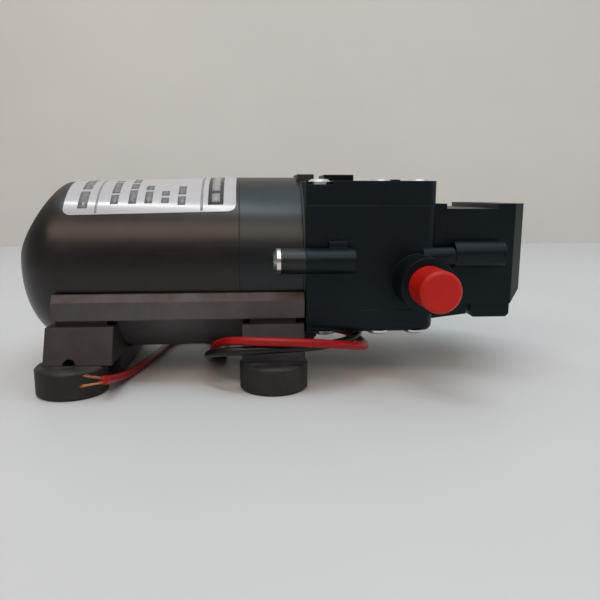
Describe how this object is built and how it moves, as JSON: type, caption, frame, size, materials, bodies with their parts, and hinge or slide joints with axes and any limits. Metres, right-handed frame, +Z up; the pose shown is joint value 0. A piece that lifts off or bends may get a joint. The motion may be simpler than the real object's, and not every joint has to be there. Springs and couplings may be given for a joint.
{
  "type": "diaphragm water pump",
  "caption": "Compact twin diaphragm water pump: round motor, square head with side ports and red caps, pressure switch, sliding feet and bare leads.",
  "frame": {"origin": "centre of the bounding box in plan, on the plane under the four feet, leads left out", "axes": "+X from the motor to the pressure switch, +Y towards the outlet port, +Z up"},
  "size_m": [0.1552, 0.1018, 0.062],
  "materials": {
    "motor_shell": "satin black moulding",
    "head_plastic": "fine grained black moulding",
    "rail_plastic": "matt dark grey moulding",
    "foot_rubber": "matt black rubber",
    "soft_rubber": "smooth black rubber",
    "steel": "plain rolled steel",
    "bell_metal": "cast, light grey",
    "screw_steel": "bright zinc",
    "bearing_steel": "ground",
    "magnet": "ferrite, dull",
    "laminations": "stacked sheet",
    "copper": "bare copper",
    "card": "resin board",
    "carbon": "pressed carbon",
    "spring_steel": "drawn wire",
    "red_plastic": "smooth red",
    "natural_nylon": "off-white",
    "label_film": "white film",
    "red_insulation": "soft PVC",
    "black_insulation": "soft PVC"
  },
  "bodies": {
    "pump": {"motor_cover": "motor_shell", "front_ring": "motor_shell", "front_bell": "bell_metal", "motor_can": "steel", "rear_bearing": "bearing_steel", "front_bearing": "bearing_steel", "magnets": "magnet", "brush_card": "card", "brush_holders": "copper", "brushes": "carbon", "brush_springs": "spring_steel", "top_diaphragm": "soft_rubber", "bottom_diaphragm": "soft_rubber", "top_valve_plate": "natural_nylon", "bottom_valve_plate": "natural_nylon", "inlet_valves": "soft_rubber", "outlet_valves": "soft_rubber", "top_cover": "head_plastic", "bottom_cover": "head_plastic", "crankcase": "head_plastic", "top_cover_screws": "screw_steel", "bottom_cover_screws": "screw_steel", "motor_screws": "screw_steel", "port_seals": "soft_rubber", "switch_base": "head_plastic", "switch_diaphragm": "soft_rubber", "switch_spring": "spring_steel", "switch_body": "head_plastic", "switch_screws": "screw_steel", "switch_cap": "head_plastic", "microswitch": "carbon", "switch_blades": "copper", "terminal_cover": "head_plastic", "rail_cradle": "rail_plastic", "label": "label_film", "lead_grommet": "soft_rubber", "red_lead": "red_insulation", "black_lead": "black_insulation", "red_lead_strands": "copper", "black_lead_strands": "copper"},
    "rotor": {"armature_core": "laminations", "windings": "copper", "commutator": "copper", "motor_shaft": "steel", "eccentric": "steel"},
    "yoke": {"con_rod": "natural_nylon", "eccentric_bearing": "bearing_steel", "clamp_plates": "steel", "clamp_screws": "screw_steel"},
    "near_plug": {"near_plug": "red_plastic"},
    "far_plug": {"far_plug": "red_plastic"},
    "rear_bracket": {"rear_foot_bracket": "rail_plastic", "rear_near_foot": "foot_rubber", "rear_far_foot": "foot_rubber"},
    "front_bracket": {"front_foot_bracket": "rail_plastic", "front_near_foot": "foot_rubber", "front_far_foot": "foot_rubber"},
    "plunger": {"pressure_plunger": "natural_nylon", "microswitch_button": "red_plastic"},
    "adjuster": {"adjusting_screw": "natural_nylon"}
  },
  "joints": [
    {"name": "motor_shaft_spin", "type": "hinge", "parent": "pump", "child": "rotor", "pos_m": [0, 0, 0.03425], "axis": [1, 0, 0], "continuous": true},
    {"name": "yoke_orbit", "type": "hinge", "parent": "rotor", "child": "yoke", "pos_m": [0.028, 0.0012, 0.03425], "axis": [1, 0, 0], "continuous": true, "deforming": ["top_diaphragm", "bottom_diaphragm"]},
    {"name": "near_plug_pull", "type": "slide", "parent": "pump", "child": "near_plug", "axis": [0, -1, 0], "range_m": [0, 0.03]},
    {"name": "far_plug_pull", "type": "slide", "parent": "pump", "child": "far_plug", "axis": [0, 1, 0], "range_m": [0, 0.03]},
    {"name": "rear_bracket_slide", "type": "slide", "parent": "pump", "child": "rear_bracket", "axis": [1, 0, 0], "range_m": [-0.012, 0]},
    {"name": "front_bracket_slide", "type": "slide", "parent": "pump", "child": "front_bracket", "axis": [1, 0, 0], "range_m": [-0.003, 0]},
    {"name": "plunger_travel", "type": "slide", "parent": "pump", "child": "plunger", "axis": [1, 0, 0], "range_m": [0, 0.0008], "stiffness_N_per_m": 8000, "springref_m": -0.003, "deforming": ["switch_spring", "switch_diaphragm"]},
    {"name": "adjusting_screw_turn", "type": "hinge", "parent": "pump", "child": "adjuster", "pos_m": [0.0701, 0, 0.0376], "axis": [1, 0, 0], "range_deg": [-180, 180]}
  ],
  "couplings": [
    {"joint": "yoke_orbit", "follows": "motor_shaft_spin", "ratio": -1}
  ]
}
